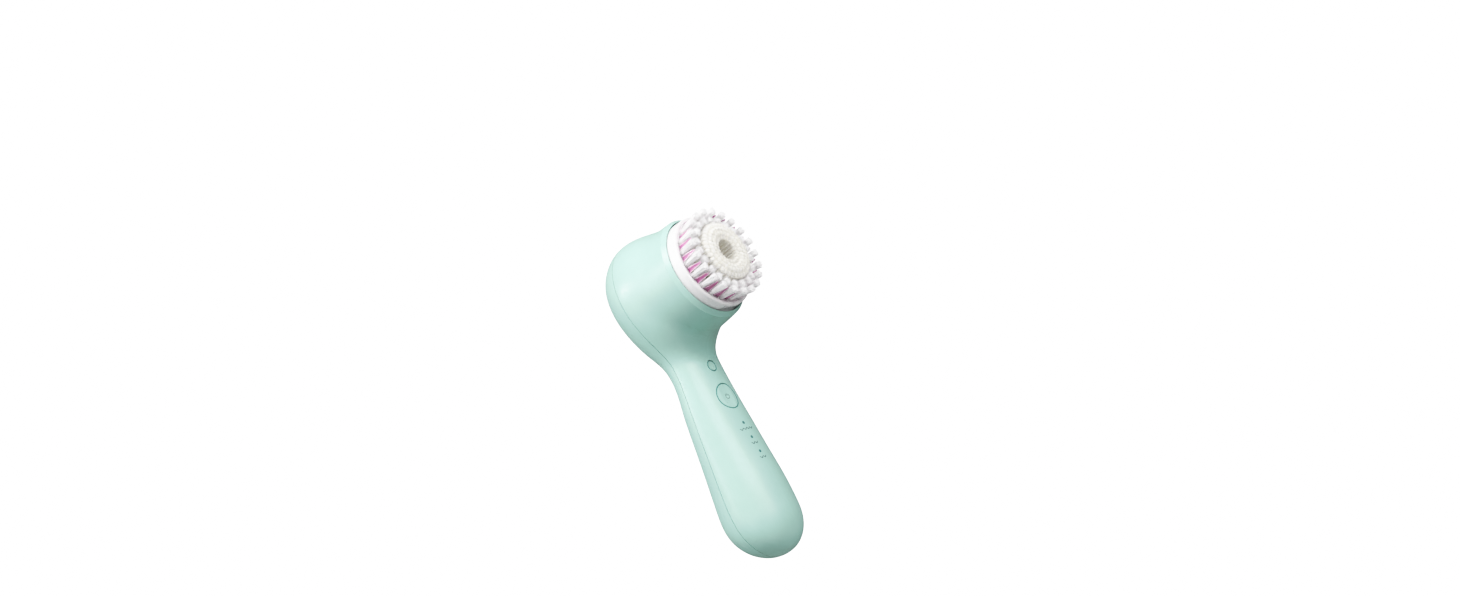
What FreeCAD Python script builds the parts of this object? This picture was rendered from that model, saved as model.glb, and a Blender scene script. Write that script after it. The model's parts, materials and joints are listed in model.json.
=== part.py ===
import FreeCAD, Part
import Sketcher
import math
import os
import re

Vector = FreeCAD.Vector
Rotation = FreeCAD.Rotation
Placement = FreeCAD.Placement

# A sonic facial brush. +Z is up along the handle, the bristles point to -Y, and the
# brush axis is parallel to Y. The origin is under the middle of the bounding box.
# Millimetres throughout.

doc = FreeCAD.newDocument("FacialBrush")

dimensions = {
    "whole": {
        "rimPlaneY": -16.64, "axisHeight": 126.2, "wall": 2.0, "seamGap": 0.2,
        "panelTilt": 3.03, "panelDepth": 20.27, "panelDrop": 53.61,
        "rimRadius": 24.4, "mouthRadius": 22.9, "mouthDepth": 3.2,
        "lipBack": -0.8, "lipFront": 1.4, "lipRadius": 23.2,
        "gasketGap": 0.05, "gasketThickness": 1.2, "gasketWidth": 3.0,
        "cutBack": -8.0, "cutFront": 5.0,
    },
    "ledge in the barrel": {
        "ledgeBore": 18.8, "ledgeRadius": 23.4, "ledgeFront": -6.0, "ledgeBack": -8.0,
        "screwCircle": 20.6, "screwCount": 3, "screwRadius": 0.7, "screwHead": 1.25,
        "screwHeadHeight": 0.8, "screwSlot": 0.4, "socketScrewEnd": -7.6, "frameScrewEnd": -6.8,
    },
    "head socket": {
        "socketRadius": 22.2, "socketFront": -4.2, "socketCollar": 7.5, "socketBack": -8.6,
        "sealRadius": 5.5, "sealLip": 2.06, "sealBack": -8.0, "sealFront": -4.4,
        "slotInner": 14.8, "slotOuter": 17.8, "slotHalfAngle": 13.0,
    },
    "drive shaft": {
        "shaftRadius": 2.0, "shaftFront": 0.2, "shaftBack": -40.5, "bushRadius": 4.4,
        "bushBore": 2.05, "frontBushFront": -11.2, "frontBushBack": -14.0,
        "rearBushFront": -36.7, "rearBushBack": -39.3,
        "clipRadius": 3.6, "clipFront": -36.0, "clipThickness": 0.6,
        "hubRadius": 4.2, "hubBack": -3.9, "toothCount": 6, "toothTip": 5.4, "toothWidth": 1.6,
    },
    "motor frame": {
        "plateRadius": 21.8, "plateFront": -11.5, "plateThickness": 2.0, "postRadius": 1.7,
        "windowCount": 4, "windowRadius": 4.0, "windowCircle": 9.4,
        "rearPlateFront": -37.0, "railInner": 11.0, "railOuter": 13.0, "railHalf": 5.8,
        "cheekInner": 12.5, "cheekOuter": 14.0, "cheekBottom": -18.0, "cheekTop": -7.0,
    },
    "stator": {
        "coreFront": -23.0, "coreBack": -32.0, "yokeHalf": 12.5, "yokeBottom": -25.0,
        "yokeTop": -21.5, "legWidth": 3.0, "legTop": -6.0, "middleLegHalf": 2.5,
        "middleLegTop": -11.2, "bobbinWall": 0.7, "bobbinFlange": 0.6, "coilHalf": 7.8,
        "coilOver": 3.4, "coilTop": -13.0, "coilBottom": -20.8,
    },
    "armature": {
        "sleeveRadius": 4.2, "sleeveFront": -22.0, "sleeveBack": -33.0, "ironRadius": 8.2,
        "ironHalfAngle": 48.0, "magnetRadius": 10.6, "magnetMiddle": 21.0,
        "magnetHalfAngle": 13.0, "bladeBottom": 1.5, "bladeTop": 1.9, "bladeFront": -23.5,
        "bladeBack": -31.5, "bladeGap": 0.15,
    },
    "carrier ring": {
        "ringFoot": -1.6, "ringTop": 6.0, "ringRadius": 22.5, "ringTopRadius": 22.2,
        "ringSkirtBore": 20.2, "ringFloorBack": 0.6, "ringFloorFront": 5.2,
        "ringFloorBore": 13.3, "ringLipBore": 20.3, "ringLipRound": 0.5, "ringFlat": 21.15,
        "ringFlatBack": 0.2, "ringFlatFront": 4.6,
        "retainerRadius": 19.9, "retainerBore": 13.6, "retainerBack": -1.0,
        "lugInner": 15.2, "lugOuter": 17.4, "lugHalfAngle": 10.0, "lugBack": -5.4, "lugOverlap": 0.5,
    },
    "bristles": {
        "tuftCount": 21, "tuftTurn": 8.1, "tuftCircle": 18.7, "tuftRadius": 1.15, "tuftTip": 1.6,
        "tuftLength": 10.4, "tuftLean": 7.0, "tuftRoot": 1.0,
        "fingerCircle": 18.95, "fingerRadius": 1.05, "fingerTip": 0.4, "fingerLength": 8.2,
        "rowInner": 14.2, "rowOuter": 16.1, "rowLean": 0.9, "rowFront": 14.8,
        "coreTuftOuter": 12.6, "coreTuftSpread": 13.9, "coreTuftBore": 5.0,
        "coreTuftShoulder": 14.2, "coreTuftCrown": 16.8, "coreTuftMiddle": 9.6,
        "coreTuftRound": 0.8, "coreTuftFlat": 1.5,
    },
    "brush core": {
        "coreRadius": 12.9, "coreBackFace": 1.2, "coreHubRadius": 6.9, "coreHubBack": -3.4,
        "hubClearance": 0.15, "hubHoleFront": 0.5,
    },
    "buttons": {
        "powerRadius": 5.9, "powerFlange": 7.1, "powerStem": 2.0, "powerPlunger": 1.1,
        "powerFlangeFront": -3.3, "powerDish": 0.45, "powerDishRadius": 60.0,
        "modeRadius": 2.25, "modeFlange": 3.2, "modeStem": 1.3, "modePlunger": 0.8,
        "modeFlangeFront": -2.2, "modeUp": 15.2, "modeDish": -0.25, "modeDishRadius": 20.0,
        "buttonGap": 0.55, "buttonFlange": 0.7, "stemEnd": -5.6, "plungerEnd": -6.6,
        "stemFit": 0.06,
    },
    "button guide": {
        "guideFront": -4.6, "guideBack": -5.4, "guideHalf": 8.4, "guideTop": 18.4,
        "guideBottom": -9.0, "guidePost": 1.0, "guidePostX": 7.0, "guidePostInset": 1.3,
    },
    "board": {
        "boardFront": -8.0, "boardBack": -9.0, "boardHalf": 10.0, "boardTop": 22.0,
        "boardBottom": -32.0, "boardScrewX": 8.2, "boardScrewTop": 20.3,
        "boardScrewBottom": -30.2, "boardBoss": 1.5, "boardScrewEnd": -5.4,
        "switchFront": -6.1, "powerSwitchHalf": 3.0, "modeSwitchHalf": 2.3,
        "plungerFit": 0.1, "chipFront": -7.0, "partsFront": -7.2,
    },
    "lights": {
        "lightPitch": 7.3, "firstLight": -13.9, "lightRadius": 0.7, "lightFit": 0.05,
        "lightBarFront": -5.8, "lightBarBack": -6.6, "lightBarHalf": 1.5, "lightBack": -7.0,
        "ledHalf": 0.8, "ledFront": -7.2,
    },
    "battery": {
        "cellRadius": 7.0, "cellLength": 34.0, "cellTop": -24.0, "cellAxis": -17.0,
        "cradleHalf": 9.5, "cradleFront": -9.3, "cradleBack": -20.0, "cradleTop": -33.0,
        "cradleBottom": -60.0, "cellFit": 0.1, "earHalf": 4.0, "earBottom": -66.0,
        "earThickness": 1.2, "earScrew": -63.0, "earScrewEnd": -6.4, "earBoss": 2.0,
        "tabRadius": 4.0, "tabThickness": 0.3, "leadRadius": 0.45,
    },
    "charging": {
        "dockDepth": 50.77, "dockHeight": 21.2, "discDepth": 1.2, "discRadius": 7.0,
        "discThickness": 1.6, "discFit": 0.05, "dockBossRadius": 9.0, "dockBossDepth": 4.4,
        "coilOuter": 8.0, "coilInner": 4.5, "coilThickness": 1.0, "ferriteRadius": 7.9,
        "ferriteThickness": 0.7, "dockMagnetRadius": 3.8, "layerGap": 0.1,
    },
}

sheet = doc.addObject("Spreadsheet::Sheet", "Dims")
row = 0
for group, cells in dimensions.items():
    row += 1
    sheet.set(f"A{row}", group)
    for alias, number in cells.items():
        row += 1
        sheet.set(f"A{row}", alias)
        sheet.set(f"B{row}", str(number))
        sheet.setAlias(f"B{row}", alias)
doc.recompute()

mathWords = ("sin", "cos", "tan", "sqrt", "deg")


def ref(expression):
    """Spreadsheet form of an expression written with plain dimension names."""
    def full(match):
        word = match.group()
        return word if word in mathWords else "Dims." + word
    return re.sub(r"[A-Za-z]\w*", full, str(expression))


def size(expression):
    """The number that an expression comes to."""
    return float(sheet.evalExpression(ref(expression)))


# Four frames are used. "base" is the part's own. "head" has its Z along the brush axis,
# 0 at the rim plane and positive towards the bristles. "panel" lies on the handle's front
# at the middle of the power button, with its Z pointing out of the surface. "dock" lies on
# the handle's back where the charger sits, with its Z pointing out too.
frames = {
    "base": ("0", "0", "0"),
    "head": ("rimPlaneY", "axisHeight", "90"),
    "panel": ("rimPlaneY + panelDepth", "axisHeight - panelDrop", "90 - panelTilt"),
    "dock": ("rimPlaneY + dockDepth", "dockHeight", "-90"),
}


def framePlacement(frame):
    y, z, turn = frames[frame]
    return Placement(Vector(0, size(y), size(z)), Rotation(Vector(1, 0, 0), size(turn)))


def place(item, frame):
    """Put a sub-part in its frame and keep its position bound to the sheet."""
    y, z, turn = frames[frame]
    item.Placement = framePlacement(frame)
    item.setExpression("Placement.Base.y", ref(y))
    item.setExpression("Placement.Base.z", ref(z))


# PartDesign helpers

def newBody(label, frame="base"):
    body = doc.addObject("PartDesign::Body", label)
    body.Label = label
    place(body, frame)
    return body


def newSketch(body, plane="XY_Plane", level="0"):
    sketch = body.newObject("Sketcher::SketchObject", body.Label + "_sketch")
    support = next(f for f in body.Origin.OriginFeatures if f.Role == plane)
    sketch.AttachmentSupport = [(support, "")]
    sketch.MapMode = "FlatFace"
    sketch.setExpression(".AttachmentOffset.Base.z", ref(level))
    return sketch


def fixPoint(sketch, item, corner, x, y):
    """Dimension one point of the sketch from its origin."""
    for kind, distance in (("DistanceX", x), ("DistanceY", y)):
        rule = sketch.addConstraint(Sketcher.Constraint(kind, -1, 1, item, corner, size(distance)))
        sketch.setExpression(f"Constraints[{rule}]", ref(distance))


def circle(sketch, radius, x="0", y="0"):
    centre = Vector(size(x), size(y), 0)
    item = sketch.addGeometry(Part.Circle(centre, Vector(0, 0, 1), size(radius)))
    rule = sketch.addConstraint(Sketcher.Constraint("Radius", item, size(radius)))
    sketch.setExpression(f"Constraints[{rule}]", ref(radius))
    fixPoint(sketch, item, 3, x, y)


def outline(sketch, corners):
    """A closed outline of straight lines through corners, each an (x, y) of expressions."""
    places = [Vector(size(x), size(y), 0) for x, y in corners]
    count = len(corners)
    first = sketch.GeometryCount
    for i in range(count):
        sketch.addGeometry(Part.LineSegment(places[i], places[(i + 1) % count]))
    for i in range(count):
        following = first + (i + 1) % count
        sketch.addConstraint(Sketcher.Constraint("Coincident", first + i, 2, following, 1))
    for i, (x, y) in enumerate(corners):
        fixPoint(sketch, first + i, 1, x, y)


def rectangle(sketch, left, right, bottom, top):
    outline(sketch, [(left, bottom), (right, bottom), (right, top), (left, top)])


def pad(body, sketch, length, back=False):
    feature = body.newObject("PartDesign::Pad", body.Label + "_pad")
    feature.Profile = sketch
    feature.Reversed = back
    feature.setExpression("Length", ref(length))
    doc.recompute()
    return feature


def pocket(body, sketch, length, back=False):
    """Cut a sketch out of the body along its normal, or against it when back is set."""
    before = body.Shape.Volume
    feature = body.newObject("PartDesign::Pocket", body.Label + "_pocket")
    feature.Profile = sketch
    feature.Reversed = not back
    feature.setExpression("Length", ref(length))
    doc.recompute()
    if body.Shape.Volume > before - 0.01:
        raise RuntimeError(body.Label + ": a pocket cut nothing")
    return feature


def revolve(body, sketch):
    feature = body.newObject("PartDesign::Revolution", body.Label + "_turn")
    feature.Profile = sketch
    feature.ReferenceAxis = (sketch, ["V_Axis"])
    feature.Angle = 360
    doc.recompute()
    return feature


def polar(body, features, sketch, count):
    """Repeat features round the axis of their sketch."""
    feature = body.newObject("PartDesign::PolarPattern", body.Label + "_round")
    feature.Originals = features
    feature.Axis = (sketch, ["N_Axis"])
    feature.Angle = 360
    feature.setExpression("Occurrences", ref(count))
    body.Tip = feature
    doc.recompute()
    return feature


def turned(label, frame, profile):
    """A body turned round its frame's Z from an outline of (radius, height) pairs."""
    body = newBody(label, frame)
    sketch = newSketch(body, "XZ_Plane")
    outline(sketch, profile)
    revolve(body, sketch)
    return body


def ringOf(label, frame, inner, outer, back, front, y="0"):
    """A plain ring, bush or washer, or a disc when inner is None."""
    body = newBody(label, frame)
    sketch = newSketch(body, "XY_Plane", back)
    circle(sketch, outer, "0", y)
    if inner:
        circle(sketch, inner, "0", y)
    pad(body, sketch, f"({front}) - ({back})")
    return body


def blockOf(label, frame, left, right, bottom, top, back, front):
    """A plain block between limits along its frame's X, Y and Z."""
    body = newBody(label, frame)
    sketch = newSketch(body, "XY_Plane", back)
    rectangle(sketch, left, right, bottom, top)
    pad(body, sketch, f"({front}) - ({back})")
    return body


# Helpers for Part primitives and booleans

def sector(name, frame, inner, outer, middle, half, back, front):
    """A sector of a ring round a frame's Z, with its middle at an angle in degrees."""
    turn = size(middle) - size(half)
    cylinders = []
    for suffix, radius in (("_outside", outer), ("_inside", inner)):
        cylinder = doc.addObject("Part::Cylinder", name + suffix)
        cylinder.setExpression("Radius", ref(radius))
        cylinder.setExpression("Height", ref(f"({front}) - ({back})"))
        cylinder.setExpression("Angle", ref(f"2 * ({half})"))
        lift = Placement(Vector(0, 0, size(back)), Rotation(Vector(0, 0, 1), turn))
        cylinder.Placement = framePlacement(frame).multiply(lift)
        cylinders.append(cylinder)
    return cutOf(name, cylinders[0], cylinders[1])


def cutOf(label, base, tool):
    item = doc.addObject("Part::Cut", label)
    item.Label = label
    item.Base = base
    item.Tool = tool
    doc.recompute()
    return item


def fuseOf(label, items):
    item = doc.addObject("Part::MultiFuse", label)
    item.Label = label
    item.Shapes = items
    doc.recompute()
    return item


def groupOf(label, items):
    item = doc.addObject("Part::Compound", label)
    item.Label = label
    item.Links = items
    doc.recompute()
    return item


# Helpers for the shapes that have no feature of their own

def inFrame(shape, frame):
    moved = shape.copy()
    moved.Placement = framePlacement(frame).multiply(moved.Placement)
    return moved


def spot(frame, x, y, z):
    """A point given in a frame, in the part's own frame."""
    return framePlacement(frame).multVec(Vector(x, y, z))


def rod(frame, radius, back, front, x=0.0, y=0.0):
    """A cylinder along a frame's Z, returned in the part's own frame."""
    start = Vector(x, y, size(back))
    cylinder = Part.makeCylinder(size(radius), size(front) - size(back), start)
    return inFrame(cylinder, frame)


def screwPlaces(start):
    """Expressions for the places of the screws round the barrel, the first at an angle in degrees."""
    places = []
    for i in range(int(size("screwCount"))):
        angle = f"({start} + {i} * 360 / screwCount) * 1 deg"
        places.append((f"screwCircle * cos({angle})", f"screwCircle * sin({angle})"))
    return places


def screwSpots(start):
    return [(size(x), size(y)) for x, y in screwPlaces(start)]


def pieceOf(label, shape):
    """A sub-part whose shape was made with Part's own functions."""
    item = doc.addObject("Part::Feature", label)
    item.Label = label
    item.Shape = shape
    item.Placement = Placement()
    return item


def screws(label, frame, spots, seat, end):
    """Pan-head screws along a frame's Z, with the head at seat and the point at end."""
    seatHeight = size(seat)
    length = size(end) - seatHeight
    sign = 1 if length > 0 else -1
    axis = Vector(0, 0, sign)
    headHeight = size("screwHeadHeight")
    slotWidth = size("screwSlot")
    solids = []
    for x, y in spots:
        foot = Vector(x, y, seatHeight)
        shank = Part.makeCylinder(size("screwRadius"), abs(length), foot, axis)
        head = Part.makeCylinder(size("screwHead"), headHeight, foot, axis * -1)
        slot = Part.makeBox(2 * size("screwHead"), slotWidth, slotWidth)
        slotBottom = seatHeight - sign * headHeight - slotWidth / 2
        slot.translate(Vector(x - size("screwHead"), y - slotWidth / 2, slotBottom))
        solids.append(inFrame(shank.fuse(head).cut(slot), frame))
    return pieceOf(label, Part.makeCompound(solids))


def lead(points, radius):
    """A wire of straight runs joined by tangent arcs, as large as the runs allow."""
    edges = []
    start = points[0]
    for before, corner, after in zip(points, points[1:], points[2:]):
        back = (before - corner).normalize()
        onward = (after - corner).normalize()
        run = 0.45 * min((before - corner).Length, (after - corner).Length)
        half = back.getAngle(onward) / 2
        toCentre = (back + onward).normalize()
        bend = run * math.tan(half)
        centre = corner + toCentre * (run / math.cos(half))
        enter = corner + back * run
        leave = corner + onward * run
        middle = centre - toCentre * bend
        edges.append(Part.LineSegment(start, enter).toShape())
        edges.append(Part.Arc(enter, middle, leave).toShape())
        start = leave
    edges.append(Part.LineSegment(start, points[-1]).toShape())
    section = Part.Wire(Part.makeCircle(radius, points[0], points[1] - points[0]))
    return Part.Wire(edges).makePipeShell([section], True, False)


# The shells
# The body is lofted through ellipses. Each one stands on a chord from a front point to a
# back point of the side profile, given as (depth in front of the rim plane, height above
# the brush axis), with a half-width across. Up the handle the chords are level. Then they
# fan round a pivot in front of the neck, and the fan ends as upright rings at the rim.

tipHeight = -size("axisHeight")
domeHeight = 20.5
domeHalfDepth = 16.6
domeHalfWidth = 18.9
domePower = 2.05
tipDepth = -32.0
handleStations = [
    (-97.0, -17.6, -49.9, 18.8),
    (-82.0, -18.6, -47.0, 18.0),
    (-66.0, -19.6, -44.2, 17.0),
    (-52.0, -20.4, -41.7, 15.9),
]
pivotDepth = -9.5
pivotHeight = -36.5
cornerRadius = 11.0
fanStations = [
    (0, 30.0, 14.6), (13, 31.8, 14.9), (26, 38.8, 17.0), (38, 48.7, 20.4), (49, 59.3, 23.8),
    (59, 66.9, 25.9), (69, 69.0, 26.2), (79, 65.8, 25.7), (90, 61.3, 25.0),
]
barrelStation = (-5.0, -25.1, 24.5, 24.7)
sectionPoints = 24


def bodySections(inset):
    """Chord ends and half-widths of the body, drawn in by inset on every side."""
    sections = []
    base = tipHeight + domeHeight
    baseMiddle = -30.6 + 0.061 * (base + 46.0)
    levels = (0.006, 0.04, 0.12, 0.25, 0.42, 0.65, 1.0)
    for level in levels:
        swell = (1 - (1 - level) ** domePower) ** (1 / domePower)
        middle = baseMiddle + (tipDepth - baseMiddle) * (1 - level) ** 1.6
        rise = (level - levels[0]) / (1 - levels[0])
        height = tipHeight + inset + (domeHeight - inset) * rise
        halfDepth = (domeHalfDepth - inset) * swell
        halfWidth = (domeHalfWidth - inset) * swell
        sections.append(((middle + halfDepth, height), (middle - halfDepth, height), halfWidth))
    for height, front, back, halfWidth in handleStations:
        sections.append(((front - inset, height), (back + inset, height), halfWidth - inset))
    for angle, reach, halfWidth in fanStations:
        turn = math.radians(angle)
        away = (-math.cos(turn), math.sin(turn))
        ends = []
        for distance in (cornerRadius + inset, reach - inset):
            ends.append((pivotDepth + distance * away[0], pivotHeight + distance * away[1]))
        sections.append((ends[0], ends[1], halfWidth - inset))
    depth, bottom, top, halfWidth = barrelStation
    sections.append(((depth, bottom + inset), (depth, top - inset), halfWidth - inset))
    rim = size("rimRadius") - inset
    sections.append(((0.0, -rim), (0.0, rim), rim))
    return sections


def profilePoint(depth, height):
    """A point of the middle plane from its depth in front of the rim and height above the axis."""
    return Vector(0, size("rimPlaneY") - depth, size("axisHeight") + height)


def skin(rings, places):
    """A closed solid whose side runs smoothly through closed rings of points."""
    count = len(rings[0])
    around = [i / count for i in range(count + 1)]
    curves = []
    for ring in rings:
        curve = Part.BSplineCurve()
        curve.interpolate(Points=ring, PeriodicFlag=True, Parameters=around)
        curves.append(curve)
    columns = []
    for column in zip(*[curve.getPoles() for curve in curves]):
        along = Part.BSplineCurve()
        along.interpolate(Points=list(column), Parameters=places)
        columns.append(along.getPoles())
    surface = Part.BSplineSurface()
    surface.buildFromPolesMultsKnots(
        columns, curves[0].getMultiplicities(), along.getMultiplicities(),
        curves[0].getKnots(), along.getKnots(), True, False, 3, 3)
    side = surface.toShape()
    caps = [Part.Face(Part.Wire(curve.toShape())) for curve in (curves[0], curves[-1])]
    shell = Part.makeShell([side] + caps)
    shell.sewShape()
    solid = Part.Solid(shell)
    if solid.Volume < 0:
        solid.reverse()
    return solid


def bodyLoft(inset):
    """The solid body, drawn in by inset."""
    rings = []
    places = [0.0]
    last = None
    for front, back, halfWidth in bodySections(inset):
        frontPoint = profilePoint(*front)
        backPoint = profilePoint(*back)
        centre = (frontPoint + backPoint) / 2
        chord = (frontPoint - backPoint) / 2
        across = Vector(halfWidth, 0, 0)
        ring = []
        for i in range(sectionPoints):
            angle = 2 * math.pi * i / sectionPoints
            ring.append(centre + chord * math.cos(angle) + across * math.sin(angle))
        rings.append(ring)
        if last:
            step = (centre - last[0]).Length + 0.35 * (backPoint - last[1]).Length
            places.append(places[-1] + step)
        last = (centre, backPoint)
    return skin(rings, places)


# The parting line between the shells, as (depth, height): upright round the back of the
# head, then down the middle of each side of the handle and round its tip.
seamPoints = [
    (-29.4, 60.0), (-30.0, 30.0), (-30.4, 6.0), (-29.5, -22.0), (-29.5, -38.0),
    (-31.4, -62.0), (-33.8, -86.0), (-35.2, -104.0), (-34.6, -122.0), (-33.6, -150.0),
]


def frontOfSeam(shift):
    """Everything in front of the parting line, with the line moved back by shift."""
    line = Part.BSplineCurve()
    line.interpolate([profilePoint(depth - shift, height) for depth, height in seamPoints])
    start = line.StartPoint
    end = line.EndPoint
    farAway = -120.0
    corners = [end, Vector(0, farAway, end.z), Vector(0, farAway, start.z), start]
    edges = [line.toShape()]
    for here, there in zip(corners, corners[1:]):
        edges.append(Part.LineSegment(here, there).toShape())
    face = Part.Face(Part.Wire(edges))
    halfSpan = 60.0
    face.translate(Vector(-halfSpan, 0, 0))
    return face.extrude(Vector(2 * halfSpan, 0, 0))


envelope = bodyLoft(size("wall") / 2)
outerBody = bodyLoft(0.0)
innerBody = bodyLoft(size("wall"))


def makeShells():
    """The two halves of the housing, with their ledge, bosses and holes."""
    mouth = rod("head", "mouthRadius", "-mouthDepth", "cutFront")
    lipLength = size("lipFront") - size("lipBack")
    lip = Part.makeCone(size("rimRadius"), size("lipRadius"), lipLength, Vector(0, 0, size("lipBack")))
    lip = inFrame(lip, "head")
    corner = rod("head", "rimRadius + wall", "lipBack", "cutFront").cut(lip)
    hollow = outerBody.fuse(lip).cut(corner).cut(mouth).cut(innerBody)

    ledge = rod("head", "ledgeRadius", "ledgeBack", "ledgeFront")
    ledge = ledge.cut(rod("head", "ledgeBore", "ledgeBack - 1", "ledgeFront + 1"))
    bosses = []
    for x, y in boardSpots():
        bosses.append(rod("panel", "boardBoss", "boardFront", "cutFront", x, y).common(envelope))
    ear = rod("panel", "earBoss", "cradleFront", "cutFront", 0, size("earScrew"))
    bosses.append(ear.common(envelope))
    front = hollow.common(frontOfSeam(-size("seamGap") / 2)).fuse([ledge] + bosses)

    holes = [
        rod("panel", "powerRadius + buttonGap", "cutBack", "cutFront"),
        rod("panel", "modeRadius + buttonGap", "cutBack", "cutFront", 0, size("modeUp")),
        rod("panel", "screwRadius", "cradleFront", "earScrewEnd", 0, size("earScrew")),
    ]
    for y in lightSpots():
        holes.append(rod("panel", "lightRadius + lightFit", "cutBack", "cutFront", 0, y))
    for x, y in boardSpots():
        holes.append(rod("panel", "screwRadius", "boardFront", "boardScrewEnd", x, y))
    for x, y in screwSpots(30):
        holes.append(rod("head", "screwRadius", "socketScrewEnd", "ledgeFront", x, y))
    for x, y in screwSpots(90):
        holes.append(rod("head", "screwRadius", "ledgeBack", "frameScrewEnd", x, y))
    pieceOf("front_shell", front.cut(holes))

    dockBoss = rod("dock", "dockBossRadius", "-dockBossDepth", "0").common(envelope)
    pocketDepth = "-discDepth - discThickness"
    dockPocket = rod("dock", "discRadius + discFit", pocketDepth, "cutFront")
    back = hollow.cut(frontOfSeam(size("seamGap") / 2)).fuse(dockBoss).cut(dockPocket)
    pieceOf("back_shell", back)

    inside = size("wall") + size("gasketGap")
    band = bodyLoft(inside).cut(bodyLoft(inside + size("gasketThickness")))
    half = size("gasketWidth") / 2
    slab = frontOfSeam(half).cut(frontOfSeam(-half))
    pieceOf("shell_gasket", band.common(slab))


def boardSpots():
    """Places of the board's screws on the panel."""
    x = size("boardScrewX")
    return [(sign * x, size(y)) for y in ("boardScrewTop", "boardScrewBottom") for sign in (-1, 1)]


def lightSpots():
    """Heights of the three indicator lights on the panel."""
    return [size("firstLight") - i * size("lightPitch") for i in range(3)]


# Head socket, seal and drive

def makeSocket():
    """The plate that closes the barrel and takes the brush head."""
    blank = newBody("socket_blank", "head")
    sketch = newSketch(blank, "XY_Plane", "ledgeFront")
    circle(sketch, "socketRadius")
    circle(sketch, "sealRadius")
    for x, y in screwPlaces(30):
        circle(sketch, "screwRadius", x, y)
    pad(blank, sketch, "socketFront - ledgeFront")
    collar = newSketch(blank, "XY_Plane", "socketBack")
    circle(collar, "socketCollar")
    circle(collar, "sealRadius")
    pad(blank, collar, "ledgeFront - socketBack")
    slots = []
    for i in range(3):
        slots.append(sector(f"socket_slot_{i + 1}", "head", "slotInner", "slotOuter",
                            f"90 + {120 * i}", "slotHalfAngle", "ledgeFront - 1", "socketFront + 1"))
    cutOf("head_socket", blank, fuseOf("socket_slots", slots))

    ringOf("shaft_seal", "head", "sealLip", "sealRadius", "sealBack", "sealFront")
    screws("socket_screws", "head", screwSpots(30), "socketFront", "socketScrewEnd")
    screws("frame_screws", "head", screwSpots(90), "plateFront - plateThickness", "frameScrewEnd")


def makeDrive():
    """Everything that swings with the shaft."""
    ringOf("drive_shaft", "head", None, "shaftRadius", "shaftBack", "shaftFront")
    ringOf("shaft_clip", "head", "shaftRadius", "clipRadius", "clipFront - clipThickness", "clipFront")

    hub = newBody("drive_hub", "head")
    sketch = newSketch(hub, "XY_Plane", "hubBack")
    circle(sketch, "hubRadius")
    circle(sketch, "shaftRadius")
    pad(hub, sketch, "shaftFront - hubBack")
    teeth = newSketch(hub, "XY_Plane", "hubBack")
    rectangle(teeth, "hubRadius - 1", "toothTip", "-toothWidth / 2", "toothWidth / 2")
    tooth = pad(hub, teeth, "shaftFront - hubBack")
    polar(hub, [tooth], teeth, "toothCount")

    sleeve = ringOf("armature_sleeve", "head", "shaftRadius", "sleeveRadius", "sleeveBack", "sleeveFront")
    iron = sector("armature_iron", "head", "sleeveRadius - 0.5", "ironRadius", "-90",
                  "ironHalfAngle", "coreBack", "coreFront")
    fuseOf("armature", [sleeve, iron])
    magnets = []
    for i, side in enumerate(("-", "+")):
        magnets.append(sector(f"magnet_{i + 1}", "head", "ironRadius", "magnetRadius",
                              f"-90 {side} magnetMiddle", "magnetHalfAngle", "coreBack", "coreFront"))
    groupOf("armature_magnets", magnets)


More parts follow.
